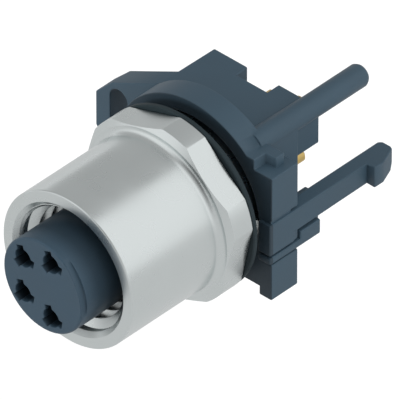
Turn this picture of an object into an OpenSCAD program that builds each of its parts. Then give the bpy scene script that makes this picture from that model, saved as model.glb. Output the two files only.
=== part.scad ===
// Round sensor connector for panel mounting, female, four way, with a board holder.
// The axis lies along Y: the mating face looks to -Y, the circuit board goes on at +Y, and +Z is up.
// The origin is on the axis, on the flat back of the housing's hexagon, which seats on the panel.

/* [Housing] */
// Outer diameter of the front sleeve
sleeve_d = 10; // [9.6:0.1:10.4]
// Length of the sleeve, from its rim to the hexagon
sleeve_l = 7.25; // [6.5:0.05:9]
// Radius of the hollow fillet where the sleeve meets the hexagon
sleeve_fillet = 0.45; // [0.2:0.05:0.6]
// Width of the hexagon across its flats
hex_af = 11; // [10.8:0.1:11.6]
// Length of the hexagon
hex_l = 1.75; // [1.5:0.05:3]
// Turn of the hexagon about the axis
hex_turn = 18; // [0:0.5:60]
// Turned diameter of the hexagon's corners
flange_d = 12; // [11.8:0.1:12.6]
// Major diameter of the coupling thread inside the sleeve
coupling_d = 8; // [7.8:0.1:8.4]
// Depth of the coupling thread
coupling_l = 6.6; // [4:0.1:7]
// Diameter of the panel thread behind the hexagon
panel_thread_d = 10; // [9.8:0.1:10.4]
// Wall of the panel thread's tube
tube_wall = 0.8; // [0.6:0.05:0.9]
// Length of the plain relief behind the hexagon, before the panel thread
relief_l = 1.5; // [0.5:0.1:2]
// Wall left under the relief
relief_wall = 0.4; // [0.3:0.05:0.6]
// Thickness of the inner web that stops the seal
web_t = 0.8; // [0.6:0.1:1.2]

/* [Insert] */
// Diameter of the insert's nose
nose_d = 6.1; // [5.9:0.05:6.3]
// How far the nose stands out of the sleeve's rim
nose_proud = 2.05; // [1:0.05:3]
// Diameter of the insert's rear part
insert_rear_d = 6.8; // [6.6:0.05:7]
// Widest part of the crescent shaped coding step at the nose's edge
key_w = 0.2; // [0.1:0.02:0.3]
// Depth of the coding step behind the mating face
key_depth = 0.4; // [0.2:0.05:0.6]
// Place of the coding step's middle around the axis
key_angle = 22; // [0:1:44]

/* [Contacts] */
// How far the contacts lie behind the mating face
contact_recess = 1.6; // [0.8:0.1:2.4]
// Outer diameter of a contact's barrel
contact_d = 1.5; // [1.3:0.05:1.55]
// Diameter of the pin that a contact takes
contact_bore_d = 1; // [0.8:0.05:1.05]
// Diameter of a contact's solder tail
tail_d = 0.76; // [0.6:0.02:0.9]
// How far the tails pass the board's seat
tail_proud = 2.2; // [1.8:0.1:4]
// Sideways place of the close pair of contacts
close_pair_x = -1.5; // [-1.55:0.05:-1.4]
// Sideways place of the wide pair of contacts
wide_pair_x = 0.65; // [0.55:0.05:0.75]
// Distance between the two contacts of the close pair
close_pair_gap = 2.44; // [2.2:0.02:2.5]
// Distance between the two contacts of the wide pair
wide_pair_gap = 3.8; // [3.6:0.05:3.9]

/* [Seals] */
// Thickness of the flat rubber ring between the hexagon and the panel
panel_seal_t = 0.35; // [0.25:0.05:0.8]
// Width of the flat rubber ring, from the panel thread outwards
panel_seal_w = 0.81; // [0.5:0.05:1]
// Cord diameter of the insert's seal
insert_seal_d = 0.9; // [0.7:0.05:0.95]

/* [Holder] */
// Space between the hexagon and the holder's collar
panel_gap = 1.3; // [1.25:0.05:3]
// Diameter of the round collar
collar_d = 12; // [11.8:0.1:12.6]
// Length of the collar
collar_l = 1.7; // [1.5:0.1:3]
// Thickness of the collar's floor
floor_t = 0.6; // [0.4:0.1:0.8]
// Height of the collar's flat underside below the axis
collar_drop = 4.3; // [4.2:0.1:5]
// Width of the block behind the collar
block_w = 8.26; // [8:0.02:8.6]
// Height of the block's top above the axis
block_rise = 4.33; // [4.2:0.01:4.5]
// Length of the block
block_l = 2.55; // [2.2:0.05:4]
// Length of the four feet that the board rests on
foot_l = 1.95; // [1.3:0.05:2.5]
// Height of the feet
foot_h = 2.5; // [2:0.1:2.8]
// Length of the bridge between the two upper feet
bridge_l = 1; // [0.6:0.05:1.2]
// Height of the bridge
bridge_h = 0.8; // [0.5:0.1:0.9]
// Width of the feet on the lug's side
lug_foot_w = 2.57; // [1.6:0.01:3]
// Width of the feet on the snap arm's side
arm_foot_w = 3.1; // [1.6:0.1:3.3]
// Thickness of the circuit board
board_t = 1.6; // [1:0.1:2]

/* [Peg and snap arm] */
// Diameter of the locating peg
peg_d = 1.46; // [1.2:0.02:1.6]
// How far the peg passes the board's seat
peg_proud = 4.2; // [3:0.1:5]
// Distance of the side wall's outer face from the axis
wall_x = 6.03; // [6:0.01:6.4]
// Thickness of the side wall
wall_t = 0.95; // [0.8:0.05:1.1]
// Length of the side wall
wall_l = 2.2; // [1.8:0.1:3]
// Height of the side wall's top above the axis
wall_rise = 3.72; // [3.4:0.02:4]
// Height of the ledge beside the collar above the axis
ledge_rise = 4.4; // [4.3:0.05:4.8]
// Depth of the side wall's foot below the axis
wall_drop = 4.87; // [4.6:0.01:5.4]
// Thickness of the snap arm
arm_t = 0.92; // [0.7:0.02:1]
// Height of the snap arm's free part
arm_h = 1.46; // [1.2:0.02:1.7]
// Height of the snap arm's top edge above the axis
arm_rise = 0.55; // [0.4:0.01:0.9]
// How far the barb stands out of the arm
barb = 0.6; // [0.4:0.05:0.8]
// Length of the barbed head
head_l = 2.1; // [1.8:0.05:3]
// Width of the slits that free the arm
slit = 0.16; // [0.12:0.01:0.24]
// Length of the rail under the arm, behind the side wall
rail_l = 1.8; // [1:0.1:2.6]
// Height of the rail beside the side wall
rail_h = 0.45; // [0.3:0.05:0.7]

/* [Fixing lug] */
// Reach of the lug from the axis
lug_reach = 9.15; // [8.9:0.01:10]
// Thickness of the lug
lug_t = 1.6; // [1:0.1:2.2]
// Height of the lug's blunt tip
lug_tip_h = 2.38; // [2:0.02:3]
// Width of the slot in the lug
lug_slot_w = 1.35; // [1:0.05:1.5]
// Length of the slot in the lug
lug_slot_l = 4.3; // [3.6:0.1:4.6]
// Distance of the slot's middle from the lug's tip
lug_slot_in = 1.78; // [1.7:0.02:2.2]

/* [Hidden] */
$fn = 64;

// Clearances: round fits, faces that face each other along the axis, and the overlap of a cut past its face
fit = 0.04;
face_gap = 0.05;
cut = 0.5;

// Taper of the long moulded shapes, over their length
draft = 0.06;

// Planes along the axis, from the mating face to the board side
hex_front = -hex_l;
rim = hex_front - sleeve_l;
nose_front = rim - nose_proud;
web_front = rim + coupling_l;
web_back = web_front + web_t;
collar_front = panel_gap;
collar_back = collar_front + collar_l;
floor_front = collar_back - floor_t;
tube_end = floor_front - face_gap;
block_back = collar_back + block_l;
board_seat = block_back + foot_l;
catch_y = board_seat + board_t + face_gap;
bridge_back = block_back + bridge_l;
foot_inset = 0.2;
insert_back = bridge_back - 7 * face_gap;
peg_tip = board_seat + peg_proud;
peg_drop = 0.17;
peg_z = block_rise - peg_drop;
tail_tip = board_seat + tail_proud;

// Radii
tube_r = panel_thread_d / 2;
rear_bore_r = tube_r - tube_wall;
relief_r = rear_bore_r + relief_wall;
web_r = nose_d / 2 + 2 * fit;
flange_r = flange_d / 2;
nose_r = nose_d / 2;
nose_root_r = nose_r - draft;
seal_land_r = rear_bore_r - insert_seal_d - 2 * fit;
seal_front = web_back + face_gap;
insert_collar_front = seal_front + insert_seal_d + face_gap;

// Contacts: centres in the X, Z plane
contact_at = [[close_pair_x, close_pair_gap / 2], [wide_pair_x, wide_pair_gap / 2],
              [close_pair_x, -close_pair_gap / 2], [wide_pair_x, -wide_pair_gap / 2]];
contact_front = nose_front + contact_recess;
barrel_back = insert_back - contact_d / 2;
socket_depth = 4.5;
cavity_r = contact_d / 2 + fit;
lead_in_r = contact_bore_d / 2 + draft;
funnel = 0.04;
star_turns = [-10, 110, 230];
star_reach = cavity_r + fit / 2;
star_w = 0.5;
star_depth = 0.7 * contact_recess;

// Snap arm: its faces, its root in the side wall and the rail below
arm_stand = 0.07;
arm_lead = 0.2;
arm_outer = wall_x + arm_stand;
arm_inner = arm_outer - arm_t;
arm_low = arm_rise - arm_h;
arm_root_h = 0.7;
arm_root_low = arm_low - arm_root_h;
rail_low = arm_root_low - slit - rail_h;
arm_front = collar_front - arm_lead;
arm_tip = catch_y + head_l;
wall_back = collar_front + wall_l;
slit_depth = 0.8 * wall_t;
barb_l = 0.75;
head_break_l = 0.3;
head_break_h = 0.6;

// Ledge beside the collar and the small pocket in its front
ledge_inset = 0.58;
ledge_x = wall_x - ledge_inset;
pocket_w = 0.8;
pocket_l = 1;

// Fixing lug: where its tapered edges bend
lug_bend_l = 1.26;
lug_bend_rise = 1.23;
lug_bend_x = lug_reach - lug_bend_l;
lug_bend_h = lug_tip_h / 2 + lug_bend_rise;

// Crescent of the coding step: half its angle at the nose's edge, and the circle that bounds it
key_half = 37;
key_low = nose_r - key_w;
key_shift = (nose_r * nose_r - key_low * key_low) / (2 * (nose_r * cos(key_half) - key_low));

// Edge breaks
rim_break = 0.2;
relief_break = 0.15;
mouth_break = 0.4;
hex_break = 0.05;
hex_break_angle = 30;
nose_break = 0.1;
tip_break = 0.35;
seal_break = 0.06;
arm_break = 0.2;

// Turns a revolved shape, drawn about Z, so that its height runs along +Y
module along_y() {
    rotate([-90, 0, 0]) children();
}

// Raises an outline drawn in the X, Z plane, from one plane along the axis to another
module plate(from, to) {
    translate([0, to, 0]) rotate([90, 0, 0]) linear_extrude(to - from) children();
}

// Raises an outline drawn in the X, Y plane, from one height to another
module slab(from, to) {
    translate([0, 0, from]) linear_extrude(to - from) children();
}

// Rectangle from one corner to the opposite one
module rect(low, high) {
    translate(low) square(high - low);
}

// Closed ring of round cord, lying square to the axis
module seal_ring(inner_r, cord_d, middle) {
    along_y() translate([0, 0, middle]) rotate_extrude()
        translate([inner_r + cord_d / 2, 0]) circle(d = cord_d, $fn = 32);
}

// Nickel plated brass body, turned in one piece: sleeve, hexagon and panel thread
module housing() {
    color([0.78, 0.79, 0.77]) difference() {
        union() {
            housing_turned();
            housing_hexagon();
        }
        housing_bores();
    }
}

module housing_turned() {
    sleeve_r = sleeve_d / 2;
    waist_r = min(sleeve_r, tube_r) - 2 * fit;
    along_y() rotate_extrude() {
        polygon([
            [0, rim], [sleeve_r - rim_break, rim], [sleeve_r, rim + rim_break], [sleeve_r, hex_front / 2],
            [waist_r, hex_front / 2], [waist_r, hex_front / 4], [relief_r, hex_front / 4],
            [relief_r, relief_l - relief_break], [tube_r, relief_l],
            [tube_r, tube_end - rim_break], [tube_r - rim_break, tube_end], [0, tube_end]]);
        translate([sleeve_r, hex_front]) sleeve_root(min(sleeve_fillet, hex_af / 2 - sleeve_r - hex_break));
    }
}

// Section of the hollow fillet where the sleeve meets the hexagon
module sleeve_root(r) {
    difference() {
        translate([-fit, -r]) square(r + fit);
        translate([r, -r]) circle(r = r);
    }
}

// Hexagon with round turned corners, broken by a cone in front
module housing_hexagon() {
    corner_r = hex_af / 2 / cos(30);
    break_r = hex_af / 2 - hex_break;
    break_l = (flange_r - break_r) * tan(hex_break_angle);
    along_y() intersection() {
        translate([0, 0, hex_front]) rotate([0, 0, -hex_turn]) cylinder(r = corner_r, h = hex_l, $fn = 6);
        rotate_extrude() polygon([
            [0, hex_front], [break_r, hex_front], [flange_r, hex_front + break_l], [flange_r, 0], [0, 0]]);
    }
}

module housing_bores() {
    coupling_r = coupling_d / 2;
    along_y() rotate_extrude() polygon([
        [0, rim - cut], [coupling_r + mouth_break + cut, rim - cut], [coupling_r, rim + mouth_break],
        [coupling_r, web_front], [web_r, web_front], [web_r, web_back], [rear_bore_r, web_back],
        [rear_bore_r, tube_end + cut], [0, tube_end + cut]]);
}

// Flat black rubber ring between the hexagon and the panel
module panel_seal() {
    inner_r = tube_r + fit;
    outer_r = inner_r + panel_seal_w;
    back = face_gap + panel_seal_t;
    color([0.09, 0.1, 0.11]) along_y() rotate_extrude() polygon([
        [inner_r, face_gap], [outer_r - seal_break, face_gap], [outer_r, face_gap + seal_break],
        [outer_r, back - seal_break], [outer_r - seal_break, back], [inner_r, back]]);
}

// Rubber ring that seals the insert against the housing's web
module insert_seal() {
    color([0.12, 0.12, 0.13])
        seal_ring(seal_land_r + fit, insert_seal_d, seal_front + insert_seal_d / 2);
}

// Moulded contact carrier: nose, inner collar and rear part, with a cavity for each contact
module contact_insert() {
    color([0.24, 0.28, 0.32]) difference() {
        along_y() rotate_extrude() polygon([
            [0, nose_front], [nose_r - nose_break, nose_front], [nose_r, nose_front + nose_break],
            [nose_r, rim - 5 * face_gap], [nose_root_r, web_front], [nose_root_r, seal_front],
            [seal_land_r, seal_front], [seal_land_r, insert_collar_front],
            [rear_bore_r - fit, insert_collar_front], [rear_bore_r - fit, floor_front - face_gap],
            [insert_rear_d / 2, floor_front - face_gap], [insert_rear_d / 2, insert_back], [0, insert_back]]);
        for (at = contact_at) contact_cavity(at);
        coding_step();
    }
}

// Cavity open to the rear, behind a mouth with three arms in the mating face
module contact_cavity(at) {
    translate([at[0], 0, at[1]]) {
        along_y() translate([0, 0, contact_front - face_gap])
            cylinder(r = cavity_r, h = insert_back + cut - contact_front + face_gap);
        along_y() rotate_extrude() polygon([
            [0, nose_front - cut], [lead_in_r + funnel * (1 + cut / contact_recess), nose_front - cut],
            [lead_in_r, contact_front], [0, contact_front]]);
        plate(nose_front - cut, nose_front + star_depth)
            for (turn = star_turns) rotate(turn) rect([0, -star_w / 2], [star_reach, star_w / 2]);
    }
}

// Crescent between the nose's edge and a wider circle, set back from the mating face
module coding_step() {
    rotate([0, -key_angle, 0]) plate(nose_front - cut, nose_front + key_depth) difference() {
        circle(r = nose_r + cut);
        translate([key_shift, 0]) circle(r = key_low - key_shift);
    }
}

// Gold plated socket contact: barrel in front, solder tail behind
module contact(at) {
    bore_r = contact_bore_d / 2;
    color([0.86, 0.72, 0.36]) translate([at[0], 0, at[1]]) difference() {
        along_y() rotate_extrude() polygon([
            [0, contact_front], [contact_d / 2, contact_front], [contact_d / 2, barrel_back],
            [tail_d / 2, barrel_back], [tail_d / 2, tail_tip - tail_d / 4],
            [tail_d / 4, tail_tip], [0, tail_tip]]);
        along_y() translate([0, 0, contact_front - cut]) cylinder(r = bore_r, h = socket_depth + cut);
    }
}

module contact_1() { contact(contact_at[0]); }
module contact_2() { contact(contact_at[1]); }
module contact_3() { contact(contact_at[2]); }
module contact_4() { contact(contact_at[3]); }

// Moulded board holder: collar, block with feet, peg, side wall with snap arm, and fixing lug
module holder() {
    color([0.27, 0.32, 0.36]) union() {
        difference() {
            union() {
                holder_collar();
                holder_block();
                holder_feet();
                locating_peg();
                side_wall();
                fixing_lug();
            }
            holder_bores();
        }
        snap_arm();
    }
}

// Round collar with a flat underside
module holder_collar() {
    plate(collar_front, collar_back) intersection() {
        circle(d = collar_d);
        rect([-collar_d, -collar_drop], [collar_d, collar_d]);
    }
}

// Square block behind the collar, inside the collar's circle
module holder_block() {
    plate(collar_back - cut, block_back)
        rect([-block_w / 2, -collar_drop], [block_w / 2, block_rise]);
}

// Four feet that the board rests on, the upper two joined by a bridge
module holder_feet() {
    lug_side = -block_w / 2;
    arm_side = block_w / 2 - foot_inset;
    plate(block_back - cut, bridge_back) rect([lug_side, block_rise - bridge_h], [arm_side, block_rise]);
    for (low = [block_rise - foot_h, -collar_drop]) plate(block_back - cut, board_seat) {
        rect([lug_side, low], [lug_side + lug_foot_w, low + foot_h]);
        rect([arm_side - arm_foot_w, low], [arm_side, low + foot_h]);
    }
}

// Round peg along the block's upper edge, standing out behind the board's seat
module locating_peg() {
    peg_r = peg_d / 2;
    translate([block_w / 2 - peg_r, 0, peg_z]) along_y()
        rotate_extrude() polygon([
            [0, collar_back - cut], [peg_r + draft, collar_back - cut], [peg_r, board_seat],
            [peg_r, peg_tip - tip_break],
            [peg_r - tip_break / 3, peg_tip - tip_break / 3], [peg_r - tip_break, peg_tip], [0, peg_tip]]);
}

// Flat wall beside the collar, with a lower ledge at its top and a small foot
module side_wall() {
    difference() {
        union() {
            plate(collar_front, wall_back) difference() {
                rect([wall_x - wall_t, -wall_drop], [wall_x, wall_rise]);
                arm_slits();
            }
            plate(collar_front, collar_back) {
                rect([collar_d / 4, wall_rise - cut], [ledge_x, ledge_rise]);
                rect([collar_d / 4, -collar_drop], [wall_x - wall_t + fit, wall_rise]);
            }
        }
        translate([ledge_x - pocket_w, collar_front - cut, wall_rise])
            cube([pocket_w + cut, pocket_l + cut, ledge_rise - wall_rise + cut]);
    }
}

// Slits above the arm and on both sides of its rail, in the side wall's outline
module arm_slits() {
    for (z = [arm_rise, arm_root_low - slit, rail_low - slit])
        rect([wall_x - slit_depth, z], [wall_x + cut, z + slit]);
}

// Snap arm with an outward barb that holds the board, and the rail under its root
module snap_arm() {
    intersection() {
        slab(arm_low, arm_rise) polygon([
            [arm_inner, arm_front], [arm_outer, arm_front], [arm_outer, catch_y], [arm_outer + barb, catch_y],
            [arm_outer + barb, catch_y + barb_l], [arm_outer + arm_break / 2, arm_tip - arm_break / 2],
            [arm_outer - arm_break / 2, arm_tip], [arm_inner + arm_break, arm_tip],
            [arm_inner, arm_tip - arm_break]]);
        arm_side_view();
    }
    slab(arm_root_low, arm_low + fit) polygon([
        [arm_inner, arm_front], [arm_outer, arm_front], [arm_outer, wall_back - 2 * arm_break],
        [arm_outer - arm_break, wall_back], [arm_inner, wall_back]]);
    slab(rail_low, arm_root_low - slit) rect([arm_inner, arm_front], [arm_outer, wall_back + rail_l]);
    slab(rail_low, arm_low - 2 * slit) rect([arm_inner, wall_back + slit], [arm_outer, wall_back + rail_l]);
}

// Outline of the arm seen from the side, with the lower corner of its head broken
module arm_side_view() {
    rotate([90, 0, 90]) linear_extrude(arm_outer + barb + cut) polygon([
        [arm_front - cut, arm_low - cut], [arm_tip - head_break_l, arm_low - cut],
        [arm_tip - head_break_l, arm_low], [arm_tip, arm_low + head_break_h],
        [arm_tip + cut, arm_low + head_break_h],
        [arm_tip + cut, arm_rise + cut], [arm_front - cut, arm_rise + cut]]);
}

// Tapered lug with an upright slot, on the side away from the snap arm
module fixing_lug() {
    root_x = block_w / 2;
    tip_z = lug_tip_h / 2;
    plate(collar_back, collar_back + lug_t) difference() {
        polygon([
            [cut - root_x, block_rise], [-root_x, block_rise], [-lug_bend_x, lug_bend_h], [-lug_reach, tip_z],
            [-lug_reach, -tip_z], [-lug_bend_x, -lug_bend_h], [-root_x, -collar_drop],
            [cut - root_x, -collar_drop]]);
        translate([lug_slot_in - lug_reach, 0]) lug_slot();
    }
}

module lug_slot() {
    straight = lug_slot_l - lug_slot_w;
    square([lug_slot_w, straight], center = true);
    for (side = [-1, 1]) translate([0, side * straight / 2]) circle(d = lug_slot_w);
}

// Threaded seat for the housing's tube, and the way through for the insert
module holder_bores() {
    along_y() rotate_extrude() polygon([
        [0, collar_front - cut], [tube_r + fit, collar_front - cut], [tube_r + fit, floor_front],
        [insert_rear_d / 2 + fit, floor_front], [insert_rear_d / 2 + fit, board_seat + cut],
        [0, board_seat + cut]]);
}

housing();
panel_seal();
contact_insert();
insert_seal();
contact_1();
contact_2();
contact_3();
contact_4();
holder();
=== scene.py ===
import math

import bmesh
import bpy
from mathutils import Matrix, Vector


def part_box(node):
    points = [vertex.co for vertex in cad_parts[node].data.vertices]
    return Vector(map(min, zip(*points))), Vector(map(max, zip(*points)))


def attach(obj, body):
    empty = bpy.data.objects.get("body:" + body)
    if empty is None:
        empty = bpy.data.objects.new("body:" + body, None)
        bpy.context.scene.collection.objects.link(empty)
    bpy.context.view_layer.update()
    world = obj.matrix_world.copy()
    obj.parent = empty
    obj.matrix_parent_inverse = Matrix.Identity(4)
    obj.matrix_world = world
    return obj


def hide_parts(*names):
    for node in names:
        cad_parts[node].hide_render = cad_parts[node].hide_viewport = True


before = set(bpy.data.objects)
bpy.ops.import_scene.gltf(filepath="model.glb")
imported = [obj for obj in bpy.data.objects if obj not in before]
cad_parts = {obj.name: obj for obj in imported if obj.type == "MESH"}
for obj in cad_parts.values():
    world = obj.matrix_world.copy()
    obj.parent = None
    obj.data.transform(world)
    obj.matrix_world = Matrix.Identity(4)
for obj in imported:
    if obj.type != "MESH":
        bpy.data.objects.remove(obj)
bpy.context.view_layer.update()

bl_info = {
    "name": "Panel Sensor Connector",
    "version": (1, 0, 0),
    "blender": (4, 5, 0),
    "location": "View3D > Sidebar > Connector",
    "description": "Finishes a round panel mounted sensor connector and sets up its studio",
    "category": "Object",
}

MM = 0.001
BODY = "root"
CONTACTS = 4
WHITE = (1, 1, 1, 1)

# The connector's axis is Y; these planes and radii come from the solids.
HOUSING_LOW, HOUSING_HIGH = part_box("housing")
RIM = HOUSING_LOW.y
TUBE_END = HOUSING_HIGH.y
FLANGE_R = HOUSING_HIGH.x
NOSE_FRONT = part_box("contact_insert")[0].y

# Vertices closer than WELD become one; a cut goes through vertices that are closer to it than CUT.
WELD = 0.0005 * MM
CUT = 0.000001 * MM
# Facets of the turned housing, a multiple of the hexagon's sides, and of one turn of a thread.
HEXAGON_SIDES = 6
FACETS = 24 * HEXAGON_SIDES
THREAD_FACETS = 72
# Half widths of a thread's ridge at its root and crest, and the length in which it grows, in pitches.
HALF_ROOT, HALF_CREST, GROWTH = 0.38, 0.07, 0.6
# Edges that turn by more than this are rounded, on metal and on mouldings.
MILLED_TURN = math.radians(18)
MOULDED_TURN = math.radians(30)
# Faces that turn by less than this are one flat.
FLAT_TURN = math.radians(0.5)

# Depths behind the mating face between which the painted shade on the nose's side and in the mouths grows
# dark, and where that painted shade ends.
SIDE_SHADE_DEPTHS = (0.4 * MM, 1.4 * MM)
MOUTH_SHADE_DEPTHS = (0.03 * MM, 0.4 * MM)
PAINTED_SHADE_END = 6 * MM

# How much light the floor gives back as paint and round the shadow that the eye sees, and its own glow.
FLOOR_PAINT, FLOOR_SHADOW, FLOOR_GLOW = 0.65, 0.4, 0.72
# Name, place and diameter in millimetres, and power in watts of each lamp, and where they all point.
LAMPS = (
    ("key", (90, -20, 140), 150, 0.1),
    ("side", (190, 20, 60), 120, 0.09),
    ("front", (-80, -185, 15), 60, 0.2),
)
LAMP_TARGET = Vector((0, -2, 0)) * MM
# Light levels of the studio, and where each part of it fades in, as components of the direction to it.
GREY_LEVEL, SCREEN_LEVEL, DIM_LEVEL, WALL_LEVEL = 0.5, 1.05, 0.15, 1.0
SCREEN_EDGES = {"X": (0.01, 0.19), "Y": (-0.7, 0.2)}
DIM_EDGES = {"Y": (-0.5, -0.9)}
CARD_EDGES = {"X": (0.1, -0.3), "Y": (-0.3, -0.6)}
WALL_EDGES = {"Z": (0.13, 0.05)}


def linear(code):
    """Linear colour of an sRGB hex value such as #c8cac6."""
    shares = [int(code[i:i + 2], 16) / 255 for i in (1, 3, 5)]
    return [s / 12.92 if s <= 0.04045 else ((s + 0.055) / 1.055) ** 2.4 for s in shares]


def colour(name, code, description):
    """Setting for a colour, given as an sRGB hex value."""
    return bpy.props.FloatVectorProperty(
        name=name, description=description, subtype="COLOR", size=3, min=0, max=1, default=linear(code))


def length(name, millimetres, description):
    """Setting for a length, given in millimetres."""
    return bpy.props.FloatProperty(
        name=name, description=description, unit="LENGTH", precision=5, default=millimetres * MM)


def angle(name, degrees, description):
    """Setting for an angle, given in degrees."""
    return bpy.props.FloatProperty(
        name=name, description=description, subtype="ANGLE", default=math.radians(degrees))


def number(name, value, description):
    """Setting for a plain number."""
    return bpy.props.FloatProperty(name=name, description=description, min=0, default=value)


class HousingSettings(bpy.types.PropertyGroup):
    """Nickel plated brass housing and its threads."""
    nickel: colour("Nickel", "#d6dcdc", "Colour of the nickel plate")
    sleeve_r: length("Sleeve radius", 5, "Outer radius of the front sleeve")
    mouth_r: length("Mouth radius", 4, "Radius of the sleeve's bore, at the root of the coupling thread")
    hex_front: length("Hexagon front", -1.75, "Place of the hexagon's front face along the axis")
    hex_flat: length("Hexagon flat", 5.5, "Distance of a flat from the axis")
    hex_turn: angle("Hexagon turn", 18, "Turn of the hexagon's corners from +X")
    hex_chamfer: angle("Hexagon chamfer", 30, "Slope of the chamfer on the hexagon's front")
    fillet: length("Fillet", 0.45, "Hollow fillet where the sleeve meets the hexagon")
    edge: length("Edge break", 0.035, "Rounding of the turned and milled edges")
    rim_edge: length("Rim edge", 0.1, "Rounding of the sleeve's rim")
    mouth_edge: length("Mouth edge", 0.28, "Chamfer of the sleeve's mouth")
    web_front: length("Web front", -2.4, "Front of the web at the bottom of the sleeve's bore")
    web_back: length("Web back", -1.6, "Back of the web")
    web_r: length("Web radius", 3.13, "Radius of the hole in the web")
    rear_bore_r: length("Rear bore", 4.2, "Radius of the bore behind the web")
    tube_r: length("Tube radius", 5, "Outer radius of the panel thread")
    thread_sunk: length("Thread sunk", 0.03, "How far a thread's root lies inside its wall")
    coupling_pitch: length("Coupling pitch", 1, "Pitch of the coupling thread")
    coupling_depth: length("Coupling depth", 0.5, "Height of the coupling thread's ridge")
    coupling_turn: angle("Coupling turn", 211, "Turn of the coupling thread's start from +X")
    coupling_lead: length("Coupling lead", 0.6, "How far in front of the rim the coupling helix starts")
    coupling_end: length("Coupling end", 0.6, "Plain stretch between the coupling thread and the web")
    panel_pitch: length("Panel pitch", 0.75, "Pitch of the panel thread")
    panel_depth: length("Panel depth", 0.4, "Height of the panel thread's ridge")
    panel_end: length("Panel end", 0.4, "Plain stretch behind the panel thread")
    relief: length("Relief", 1.75, "Plain stretch behind the hexagon, before the panel thread")


class MouldingSettings(bpy.types.PropertyGroup):
    """Moulded holder and insert, rubber rings and contacts."""
    holder: colour("Holder", "#384b58", "Colour of the moulded holder")
    insert: colour("Insert", "#324553", "Colour of the moulded contact insert")
    rubber: colour("Rubber", "#232d31", "Colour of the rubber rings")
    gold: colour("Gold", "#d0b574", "Colour of the gold plate")
    holder_edge: length("Holder edge", 0.08, "Rounding of the holder's edges")
    insert_edge: length("Insert edge", 0.04, "Rounding of the insert's edges")
    # Painted shade: the holder's front face behind the hexagon, the nose's side and the mouths are darkened
    # in their colour to these tones.
    holder_shade_front: length("Holder front", 1.36, "Plane along the axis in front of which the holder is darker")
    mouth_reach: length("Mouth reach", 2.83, "Distance from the axis within which the mouths lie")
    front_shade_tone: number("Front tone", 0.5, "Tone of the holder's front face")
    side_shade_tone: number("Side tone", 0.6, "Tone of the nose's side")
    mouth_shade_tone: number("Mouth tone", 0.28, "Tone inside the mouths")


class StudioSettings(bpy.types.PropertyGroup):
    """Floor and camera."""
    floor: colour("Floor", "#f7f7f7", "Colour of the floor")
    floor_z: length("Floor height", -20, "Height of the floor")
    floor_r: length("Floor radius", 900, "Radius of the floor")
    azimuth: angle("Azimuth", 43, "Turn of the camera from the front towards +X")
    elevation: angle("Elevation", 37.6, "Angle at which the camera looks down")
    aim_right: length("Aim right", 7.416, "How far right of the rim's centre the picture's centre is")
    aim_up: length("Aim up", 3.927, "How far above the rim's centre the picture's centre is")
    lens: number("Lens", 1600, "Focal length in millimetres")
    sensor: number("Sensor", 36, "Width of the camera's sensor in millimetres")
    frame_w: length("Frame width", 22.548, "Width of the picture at the connector")
    frame_depth: length("Frame depth", 5.9, "How far behind the rim's centre the frame has that width")


def node(tree, kind, inputs=None, **settings):
    """Adds a node with its settings; an input is a value, or a socket to link from."""
    made = tree.nodes.new(kind)
    for name, value in settings.items():
        setattr(made, name, value)
    for key, value in (inputs or {}).items():
        if isinstance(value, bpy.types.NodeSocket):
            tree.links.new(value, made.inputs[key])
        else:
            made.inputs[key].default_value = value
    return made


def new_material(name):
    """Empty node material, with its tree and the Object coordinates' socket."""
    made = bpy.data.materials.new(name)
    made.use_nodes = True
    tree = made.node_tree
    tree.nodes.clear()
    return made, tree, node(tree, "ShaderNodeTexCoord").outputs["Object"]


def shade(value, factor=1):
    """Colour for a socket, made darker or lighter by a factor."""
    return (*(channel * factor for channel in value), 1)


def every(millimetres):
    """Scale of a pattern whose marks lie this far apart."""
    return 1 / (millimetres * MM)


def satin_nickel(value):
    """Satin nickel plate on turned brass: a soft metal gleam, drawn out along the turning marks."""
    made, tree, place = new_material("satin_nickel")
    # Turning marks lie about 0.05 mm apart; they are drawn twice as coarse so that they show.
    marks = node(tree, "ShaderNodeMapping", {
        "Vector": place, "Scale": (every(3.333), every(0.111), every(3.333))})
    lines = node(tree, "ShaderNodeTexNoise", {"Vector": marks.outputs[0], "Scale": 1, "Detail": 2})
    clouds = node(tree, "ShaderNodeTexNoise", {"Vector": place, "Scale": every(2.5), "Detail": 3})
    rough = node(tree, "ShaderNodeMapRange", {
        "Value": clouds.outputs["Fac"], "From Min": 0.3, "From Max": 0.7, "To Min": 0.24, "To Max": 0.34})
    tone = node(tree, "ShaderNodeMix", {
        0: clouds.outputs["Fac"], 6: shade(value, 0.93), 7: shade(value)}, data_type="RGBA")
    bump = node(tree, "ShaderNodeBump", {
        "Height": lines.outputs["Fac"], "Strength": 0.05, "Distance": 0.01 * MM})
    surface = node(tree, "ShaderNodeBsdfPrincipled", {
        "Base Color": tone.outputs[2], "Metallic": 1.0, "Roughness": rough.outputs[0],
        "Normal": bump.outputs[0]})
    node(tree, "ShaderNodeOutputMaterial", {"Surface": surface.outputs[0]})
    return made


def front_mask(tree, place, plane):
    """1 in front of a plane along the axis and 0 behind it."""
    along = node(tree, "ShaderNodeSeparateXYZ", {0: place}).outputs["Y"]
    return node(tree, "ShaderNodeMath", {0: along, 1: plane}, operation="LESS_THAN").outputs[0]


def depth_shade_mask(tree, place, depths):
    """Mask of painted shade: 0 at the mating face, rising to 1 between two depths behind it, and 0 again
    inside the sleeve.
    """
    along = node(tree, "ShaderNodeSeparateXYZ", {0: place}).outputs["Y"]
    deep = node(tree, "ShaderNodeMapRange", {
        "Value": along, "From Min": NOSE_FRONT + depths[0], "From Max": NOSE_FRONT + depths[1]})
    return node(tree, "ShaderNodeMath", {
        0: deep.outputs[0], 1: front_mask(tree, place, NOSE_FRONT + PAINTED_SHADE_END)},
        operation="MULTIPLY").outputs[0]


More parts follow.
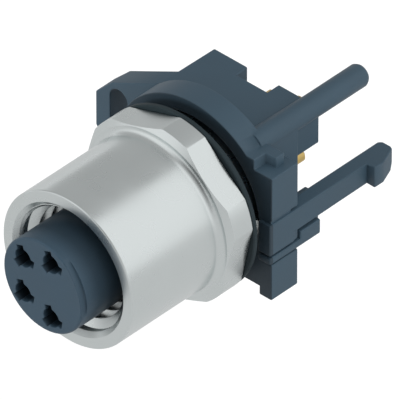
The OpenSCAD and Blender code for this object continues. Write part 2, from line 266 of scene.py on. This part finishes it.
def mouth_shade_mask(tree, place, reach):
    """Mask of the painted shade inside the insert's mouths: 1 behind the mating face and within a distance
    of the axis.
    """
    flat = node(tree, "ShaderNodeMapping", {"Vector": place, "Scale": (1, 0, 1)})
    away = node(tree, "ShaderNodeVectorMath", {0: flat.outputs[0]}, operation="LENGTH")
    near = node(tree, "ShaderNodeMath", {0: away.outputs["Value"], 1: reach}, operation="LESS_THAN")
    return node(tree, "ShaderNodeMath", {
        0: near.outputs[0], 1: depth_shade_mask(tree, place, MOUTH_SHADE_DEPTHS)}, operation="MULTIPLY").outputs[0]


def moulded_polyamide(name, value, roughness, painted_shades):
    """Glass filled polyamide from a spark eroded mould: dull, with a fine grain and faint flow clouds.

    Each painted shade is a mask, the mask's size and the darker tone that is painted there as shade.
    """
    made, tree, place = new_material(name)
    # The grain of the mould is about 0.03 mm; it is drawn at 0.1 mm so that it shows.
    grain = node(tree, "ShaderNodeTexNoise", {"Vector": place, "Scale": every(0.1), "Detail": 3})
    flow = node(tree, "ShaderNodeTexNoise", {"Vector": place, "Scale": every(2.857), "Detail": 4})
    tone = node(tree, "ShaderNodeMix", {
        0: flow.outputs["Fac"], 6: shade(value, 0.9), 7: shade(value, 1.1)}, data_type="RGBA")
    # Painted shade: sheltered places are darkened in the colour to the tone that their shade has in the
    # photo.
    for mask, size, factor in painted_shades:
        tone = node(tree, "ShaderNodeMix", {
            0: mask(tree, place, size), 6: tone.outputs[2], 7: shade(value, factor)}, data_type="RGBA")
    rough = node(tree, "ShaderNodeMapRange", {
        "Value": flow.outputs["Fac"], "From Min": 0.3, "From Max": 0.7,
        "To Min": roughness - 0.05, "To Max": roughness + 0.05})
    bump = node(tree, "ShaderNodeBump", {
        "Height": grain.outputs["Fac"], "Strength": 0.25, "Distance": 0.01 * MM})
    surface = node(tree, "ShaderNodeBsdfPrincipled", {
        "Base Color": tone.outputs[2], "Roughness": rough.outputs[0], "IOR": 1.53,
        "Specular IOR Level": 0.25, "Normal": bump.outputs[0]})
    node(tree, "ShaderNodeOutputMaterial", {"Surface": surface.outputs[0]})
    return made


def moulded_rubber(value):
    """Black nitrile rubber: a dull moulded skin with faint bloom."""
    made, tree, place = new_material("moulded_rubber")
    bloom = node(tree, "ShaderNodeTexNoise", {"Vector": place, "Scale": every(1.111), "Detail": 4})
    tone = node(tree, "ShaderNodeMix", {
        0: bloom.outputs["Fac"], 6: shade(value, 0.85), 7: shade(value, 1.3)}, data_type="RGBA")
    bump = node(tree, "ShaderNodeBump", {
        "Height": bloom.outputs["Fac"], "Strength": 0.1, "Distance": 0.02 * MM})
    surface = node(tree, "ShaderNodeBsdfPrincipled", {
        "Base Color": tone.outputs[2], "Roughness": 0.6, "IOR": 1.52, "Specular IOR Level": 0.15,
        "Normal": bump.outputs[0]})
    node(tree, "ShaderNodeOutputMaterial", {"Surface": surface.outputs[0]})
    return made


def gold_plate(value):
    """Thin gold plate on turned copper alloy: warm, slightly clouded metal."""
    made, tree, place = new_material("gold_plate")
    clouds = node(tree, "ShaderNodeTexNoise", {"Vector": place, "Scale": every(0.667), "Detail": 3})
    tone = node(tree, "ShaderNodeMix", {
        0: clouds.outputs["Fac"], 6: shade(value, 0.85), 7: shade(value)}, data_type="RGBA")
    rough = node(tree, "ShaderNodeMapRange", {
        "Value": clouds.outputs["Fac"], "From Min": 0.3, "From Max": 0.7, "To Min": 0.25, "To Max": 0.4})
    surface = node(tree, "ShaderNodeBsdfPrincipled", {
        "Base Color": tone.outputs[2], "Metallic": 1.0, "Roughness": rough.outputs[0]})
    node(tree, "ShaderNodeOutputMaterial", {"Surface": surface.outputs[0]})
    return made


def finish_node(name, material):
    """Gives a solid that stays as it is its finish."""
    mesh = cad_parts[name].data
    mesh.materials.clear()
    mesh.materials.append(material)


def add_piece(bm, name, material, slot, *stands_for, sharp=32):
    """Closes a bmesh into a piece that rides on the connector, crisp at edges past an angle in degrees."""
    mesh = bpy.data.meshes.new(name)
    bm.to_mesh(mesh)
    bm.free()
    mesh.shade_smooth()
    mesh.set_sharp_from_angle(angle=math.radians(sharp))
    mesh.materials.append(material)
    piece = bpy.data.objects.new(name, mesh)
    bpy.context.scene.collection.objects.link(piece)
    # Large faces keep their own direction, so that flats stay flat between rounded edges.
    weighted = piece.modifiers.new("flat_faces", "WEIGHTED_NORMAL")
    weighted.keep_sharp = True
    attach(piece, BODY)
    if stands_for:
        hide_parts(*stands_for)


def round_edges(bm, width, smallest_turn, front=-math.inf):
    """Rounds the outward edges that turn by more than an angle and reach behind a plane along the axis."""
    edges = [e for e in bm.edges
             if len(e.link_faces) == 2 and e.is_convex and e.calc_face_angle() > smallest_turn
             and max(v.co.y for v in e.verts) > front]
    bmesh.ops.bevel(bm, geom=edges, offset=width, offset_type="OFFSET", segments=2, profile=0.5,
                    affect="EDGES", clamp_overlap=False, material=-1)
    bmesh.ops.remove_doubles(bm, verts=bm.verts[:], dist=WELD)


def softened_copy(name, width):
    """Merged copy of a solid, with its outward edges rounded."""
    bm = bmesh.new()
    bm.from_mesh(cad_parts[name].data)
    bmesh.ops.remove_doubles(bm, verts=bm.verts[:], dist=WELD)
    bmesh.ops.dissolve_limit(bm, angle_limit=FLAT_TURN, verts=bm.verts[:], edges=bm.edges[:])
    round_edges(bm, width, MOULDED_TURN)
    return bm


def lathe(bm, outline, steps):
    """Spins a closed outline of radius and place along the axis into a ring."""
    verts = [bm.verts.new((radius, along, 0)) for radius, along in outline]
    edges = [bm.edges.new((verts[i - 1], verts[i])) for i in range(len(verts))]
    bmesh.ops.spin(bm, geom=verts + edges, cent=(0, 0, 0), axis=(0, 1, 0), angle=2 * math.pi, steps=steps,
                   use_merge=True)
    bmesh.ops.remove_doubles(bm, verts=bm.verts[:], dist=WELD)
    bmesh.ops.recalc_face_normals(bm, faces=bm.faces[:])


def arc(centre, radius, start, stop, steps):
    """Points of an arc in the outline's plane, in degrees."""
    turns = [math.radians(start + (stop - start) * i / steps) for i in range(steps + 1)]
    return [(centre[0] + radius * math.cos(t), centre[1] + radius * math.sin(t)) for t in turns]


def turn_piece(bm, turn):
    """Turns a shape about the connector's axis."""
    bmesh.ops.rotate(bm, verts=bm.verts[:], cent=(0, 0, 0), matrix=Matrix.Rotation(turn, 3, "Y"))


def mill(bm, point, out):
    """Cuts off what lies outside a plane and closes the cut."""
    bmesh.ops.bisect_plane(
        bm, geom=bm.verts[:] + bm.edges[:] + bm.faces[:], dist=CUT,
        plane_co=point, plane_no=out, clear_outer=True)
    bmesh.ops.holes_fill(bm, edges=[e for e in bm.edges if e.is_boundary], sides=0)
    bmesh.ops.recalc_face_normals(bm, faces=bm.faces[:])


def thread(bm, root_r, crest_r, pitch, start, stop, rise):
    """Ridge of a screw thread that grows out of its root behind a plane and sinks into it at the end."""
    steps = round((stop - start) / pitch * THREAD_FACETS)
    half_root, half_crest = HALF_ROOT * pitch, HALF_CREST * pitch
    outline = [(root_r, -half_root), (crest_r, -half_crest), (crest_r, half_crest), (root_r, half_root)]
    verts = [bm.verts.new((radius, start + along, 0)) for radius, along in outline]
    bmesh.ops.spin(bm, geom=[bm.faces.new(verts)], cent=(0, 0, 0), axis=(0, 1, 0),
                   angle=2 * math.pi * steps / THREAD_FACETS, steps=steps,
                   dvec=(0, pitch / THREAD_FACETS, 0))
    # A trace of the ridge stays at its ends, so that no face closes up.
    least = 0.02
    for vert in bm.verts:
        radius = math.hypot(vert.co.x, vert.co.z)
        from_end = min(vert.co.y - rise, stop + half_root - vert.co.y)
        grown = min(max(from_end / (GROWTH * pitch), least), 1)
        shrink = (root_r + (radius - root_r) * grown) / radius
        vert.co.x *= shrink
        vert.co.z *= shrink
    bmesh.ops.recalc_face_normals(bm, faces=bm.faces[:])


class CONNECTOR_OT_housing(bpy.types.Operator):
    """Turn the nickel plated housing and mill its hexagon"""
    bl_idname = "connector.housing"
    bl_label = "Housing"

    def execute(self, context):
        sizes = context.scene.connector_housing
        bm = bmesh.new()
        thread_root_r = sizes.tube_r - sizes.panel_depth
        cone = (FLANGE_R - sizes.sleeve_r - sizes.fillet) * math.tan(sizes.hex_chamfer)
        cone_end = sizes.hex_front + cone
        rim_centre = (sizes.sleeve_r - sizes.rim_edge, RIM + sizes.rim_edge)
        fillet_centre = (sizes.sleeve_r + sizes.fillet, sizes.hex_front - sizes.fillet)
        lathe(bm, [
            (sizes.mouth_r + sizes.mouth_edge, RIM),
            *arc(rim_centre, sizes.rim_edge, -90, 0, 6),
            *arc(fillet_centre, sizes.fillet, 180, 90, 10),
            (FLANGE_R, cone_end), (FLANGE_R, 0),
            (thread_root_r, 0), (thread_root_r, TUBE_END),
            (sizes.rear_bore_r, TUBE_END), (sizes.rear_bore_r, sizes.web_back),
            (sizes.web_r, sizes.web_back), (sizes.web_r, sizes.web_front),
            (sizes.mouth_r, sizes.web_front), (sizes.mouth_r, RIM + sizes.mouth_edge)], FACETS)
        # The facets start at a corner, so that each flat meets them in the same way.
        turn_piece(bm, -sizes.hex_turn)
        for k in range(HEXAGON_SIDES):
            turn = sizes.hex_turn + math.pi * (2 * k + 1) / HEXAGON_SIDES
            out = Vector((math.cos(turn), 0, math.sin(turn)))
            mill(bm, out * sizes.hex_flat, out)
        # The turned edges in front of the flats stay as the lathe leaves them.
        round_edges(bm, sizes.edge, MILLED_TURN, cone_end + sizes.edge)
        add_piece(bm, "housing_body", bpy.data.materials["satin_nickel"], "nickel", "housing", sharp=22)
        return {"FINISHED"}


class CONNECTOR_OT_threads(bpy.types.Operator):
    """Cut the coupling thread in the sleeve and the panel thread on the tube"""
    bl_idname = "connector.threads"
    bl_label = "Threads"

    def execute(self, context):
        sizes = context.scene.connector_housing
        nickel = bpy.data.materials["satin_nickel"]
        bm = bmesh.new()
        chamfer_end = RIM + sizes.mouth_edge
        thread(bm, sizes.mouth_r + sizes.thread_sunk, sizes.mouth_r - sizes.coupling_depth,
               sizes.coupling_pitch, RIM - sizes.coupling_lead, sizes.web_front - sizes.coupling_end,
               chamfer_end)
        turn_piece(bm, sizes.coupling_turn)
        # The mouth's chamfer takes the front of the ridge away.
        mill(bm, (0, chamfer_end, 0), (0, -1, 0))
        add_piece(bm, "coupling_thread", nickel, "nickel")
        bm = bmesh.new()
        thread(bm, sizes.tube_r - sizes.panel_depth - sizes.thread_sunk, sizes.tube_r, sizes.panel_pitch,
               sizes.relief, TUBE_END - sizes.panel_end, sizes.relief - HALF_ROOT * sizes.panel_pitch)
        add_piece(bm, "panel_thread", nickel, "nickel")
        return {"FINISHED"}


class CONNECTOR_OT_rings(bpy.types.Operator):
    """Finish the rubber rings"""
    bl_idname = "connector.rings"
    bl_label = "Rubber rings"

    def execute(self, context):
        for name in ("panel_seal", "insert_seal"):
            finish_node(name, bpy.data.materials["moulded_rubber"])
        return {"FINISHED"}


class CONNECTOR_OT_insert(bpy.types.Operator):
    """Mould the contact insert"""
    bl_idname = "connector.insert"
    bl_label = "Contact insert"

    def execute(self, context):
        mouldings = context.scene.connector_mouldings
        add_piece(softened_copy("contact_insert", mouldings.insert_edge), "insert_moulding",
                  bpy.data.materials["insert_polyamide"], "insert", "contact_insert")
        return {"FINISHED"}


class CONNECTOR_OT_contacts(bpy.types.Operator):
    """Gold plate the contacts"""
    bl_idname = "connector.contacts"
    bl_label = "Contacts"

    def execute(self, context):
        for k in range(1, CONTACTS + 1):
            finish_node(f"contact_{k}", bpy.data.materials["gold_plate"])
        return {"FINISHED"}


class CONNECTOR_OT_holder(bpy.types.Operator):
    """Mould the board holder"""
    bl_idname = "connector.holder"
    bl_label = "Board holder"

    def execute(self, context):
        mouldings = context.scene.connector_mouldings
        add_piece(softened_copy("holder", mouldings.holder_edge), "holder_moulding",
                  bpy.data.materials["holder_polyamide"], "holder", "holder")
        return {"FINISHED"}


class CONNECTOR_OT_finishes(bpy.types.Operator):
    """Mix the finishes"""
    bl_idname = "connector.finishes"
    bl_label = "Finishes"

    def execute(self, context):
        mouldings = context.scene.connector_mouldings
        satin_nickel(context.scene.connector_housing.nickel)
        # The holder's front face behind the hexagon, the nose's side inside the sleeve and the mouths get
        # painted shade in their colour.
        moulded_polyamide("holder_polyamide", mouldings.holder, roughness=0.5, painted_shades=[
            (front_mask, mouldings.holder_shade_front, mouldings.front_shade_tone)])
        moulded_polyamide("insert_polyamide", mouldings.insert, roughness=0.45, painted_shades=[
            (depth_shade_mask, SIDE_SHADE_DEPTHS, mouldings.side_shade_tone),
            (mouth_shade_mask, mouldings.mouth_reach, mouldings.mouth_shade_tone)])
        moulded_rubber(mouldings.rubber)
        gold_plate(mouldings.gold)
        return {"FINISHED"}


def studio_floor(value):
    """Pale floor that shows white to the eye and in the metal, and keeps a soft shadow."""
    made, tree, _ = new_material("studio_floor")
    path = node(tree, "ShaderNodeLightPath").outputs
    seen = node(tree, "ShaderNodeMath", {
        0: path["Is Camera Ray"], 1: path["Is Glossy Ray"]}, operation="MAXIMUM")
    seen = node(tree, "ShaderNodeMath", {
        0: seen.outputs[0], 1: path["Is Transmission Ray"]}, operation="MAXIMUM")
    paint = node(tree, "ShaderNodeBsdfDiffuse", {"Color": shade(value, FLOOR_PAINT)})
    lit = node(tree, "ShaderNodeBsdfDiffuse", {"Color": shade(value, FLOOR_SHADOW)})
    shadow = node(tree, "ShaderNodeMixShader", {0: path["Is Camera Ray"], 2: lit.outputs[0]})
    glow = node(tree, "ShaderNodeEmission", {"Color": WHITE, "Strength": FLOOR_GLOW})
    bright = node(tree, "ShaderNodeAddShader", {0: shadow.outputs[0], 1: glow.outputs[0]})
    mixed = node(tree, "ShaderNodeMixShader", {
        0: seen.outputs[0], 1: paint.outputs[0], 2: bright.outputs[0]})
    # From below the floor is clear, so that it never hides the connector.
    below = node(tree, "ShaderNodeNewGeometry").outputs["Backfacing"]
    clear = node(tree, "ShaderNodeBsdfTransparent")
    sheet = node(tree, "ShaderNodeMixShader", {0: below, 1: mixed.outputs[0], 2: clear.outputs[0]})
    node(tree, "ShaderNodeOutputMaterial", {"Surface": sheet.outputs[0]})
    return made


def floor_disc(studio):
    """Round floor under the connector."""
    bm = bmesh.new()
    bmesh.ops.create_circle(bm, cap_ends=True, segments=96, radius=studio.floor_r)
    bmesh.ops.translate(bm, verts=bm.verts[:], vec=(0, 0, studio.floor_z))
    mesh = bpy.data.meshes.new("floor")
    bm.to_mesh(mesh)
    bm.free()
    mesh.materials.append(studio_floor(studio.floor))
    return bpy.data.objects.new("floor", mesh)


def soft_screen(tree, way, edges):
    """How much of a screen lies in a direction; it fades in between its two edges on each axis."""
    seen = 1.0
    for axis, (start, stop) in edges.items():
        step = node(tree, "ShaderNodeMapRange", {
            "Value": way[axis], "From Min": start, "From Max": stop}, interpolation_type="SMOOTHSTEP")
        seen = node(tree, "ShaderNodeMath", {
            0: seen, 1: step.outputs[0]}, operation="MULTIPLY").outputs[0]
    return seen


def studio_world():
    """Grey studio with the white screens that the metal mirrors."""
    world = bpy.data.worlds.new("studio")
    world.use_nodes = True
    tree = world.node_tree
    tree.nodes.clear()
    way = node(tree, "ShaderNodeSeparateXYZ", {
        0: node(tree, "ShaderNodeTexCoord").outputs["Generated"]}).outputs
    # A large white screen stands behind on the right, so that the metal turns from grey to white across.
    level = node(tree, "ShaderNodeMapRange", {
        "Value": soft_screen(tree, way, SCREEN_EDGES), "To Min": GREY_LEVEL, "To Max": SCREEN_LEVEL},
        interpolation_type="SMOOTHSTEP").outputs[0]
    # The camera's side is dim, a white card stands in front on the left, and white walls meet the floor.
    for edges, own_level in (
            (DIM_EDGES, DIM_LEVEL), (CARD_EDGES, SCREEN_LEVEL), (WALL_EDGES, WALL_LEVEL)):
        level = node(tree, "ShaderNodeMix", {
            0: soft_screen(tree, way, edges), 2: level, 3: own_level}).outputs[0]
    sky = node(tree, "ShaderNodeBackground", {"Color": WHITE, "Strength": level})
    node(tree, "ShaderNodeOutputWorld", {"Surface": sky.outputs[0]})
    return world


def lamp(name, place, size, power):
    """Round lamp that points at the connector."""
    light = bpy.data.lights.new(name, "AREA")
    light.shape = "DISK"
    light.size = size
    light.energy = power
    made = bpy.data.objects.new(name, light)
    made.location = place
    made.rotation_euler = (LAMP_TARGET - place).to_track_quat("-Z", "Y").to_euler()
    # The metal shows the white screens, not the lamps.
    made.visible_glossy = False
    return made


def photo_camera(studio):
    """Camera that sees the connector as the photo does, from far away through a long lens."""
    turn, tilt = studio.azimuth, studio.elevation
    right = Vector((math.cos(turn), math.sin(turn), 0))
    back = Vector((math.sin(turn) * math.cos(tilt), -math.cos(turn) * math.cos(tilt), math.sin(tilt)))
    up = back.cross(right)
    aim = Vector((0, RIM, 0)) + right * studio.aim_right + up * studio.aim_up
    distance = studio.frame_w * studio.lens / studio.sensor - studio.frame_depth
    camera = bpy.data.cameras.new("camera")
    camera.lens = studio.lens
    camera.sensor_width = studio.sensor
    camera.clip_start = 0.01
    camera.clip_end = 10
    made = bpy.data.objects.new("camera", camera)
    facing = Matrix((right, up, back)).transposed().to_4x4()
    made.matrix_world = Matrix.Translation(aim + back * distance) @ facing
    return made


class CONNECTOR_OT_stage(bpy.types.Operator):
    """Set up the floor, the lamps and the camera"""
    bl_idname = "connector.stage"
    bl_label = "Stage"

    def execute(self, context):
        scene = context.scene
        studio = scene.connector_studio
        floor = floor_disc(studio)
        scene.collection.objects.link(floor)
        scene.world = studio_world()
        for name, place, size, power in LAMPS:
            scene.collection.objects.link(lamp(name, Vector(place) * MM, size * MM, power))
        camera = photo_camera(studio)
        scene.collection.objects.link(camera)
        scene.camera = camera
        scene.view_settings.view_transform = "Standard"
        return {"FINISHED"}


class CONNECTOR_PT_panel(bpy.types.Panel):
    """Steps that finish the connector"""
    bl_idname = "CONNECTOR_PT_panel"
    bl_label = "Panel Sensor Connector"
    bl_space_type = "VIEW_3D"
    bl_region_type = "UI"
    bl_category = "Connector"

    def draw(self, context):
        for step in STEPS:
            self.layout.operator(step.bl_idname)
        for group in GROUPS:
            settings = getattr(context.scene, group)
            for name in settings.bl_rna.properties.keys():
                if name not in ("rna_type", "name"):
                    self.layout.prop(settings, name)


STEPS = (CONNECTOR_OT_finishes, CONNECTOR_OT_housing, CONNECTOR_OT_threads, CONNECTOR_OT_rings,
         CONNECTOR_OT_insert, CONNECTOR_OT_contacts, CONNECTOR_OT_holder, CONNECTOR_OT_stage)
GROUPS = {"connector_housing": HousingSettings, "connector_mouldings": MouldingSettings,
          "connector_studio": StudioSettings}


def register():
    for made in (*GROUPS.values(), *STEPS, CONNECTOR_PT_panel):
        bpy.utils.register_class(made)
    for name, group in GROUPS.items():
        setattr(bpy.types.Scene, name, bpy.props.PointerProperty(type=group))


def unregister():
    for name in GROUPS:
        delattr(bpy.types.Scene, name)
    for made in reversed((*GROUPS.values(), *STEPS, CONNECTOR_PT_panel)):
        bpy.utils.unregister_class(made)


def main():
    register()
    bpy.ops.connector.finishes()
    bpy.ops.connector.housing()
    bpy.ops.connector.threads()
    bpy.ops.connector.rings()
    bpy.ops.connector.insert()
    bpy.ops.connector.contacts()
    bpy.ops.connector.holder()
    bpy.ops.connector.stage()


if __name__ == "__main__":
    main()
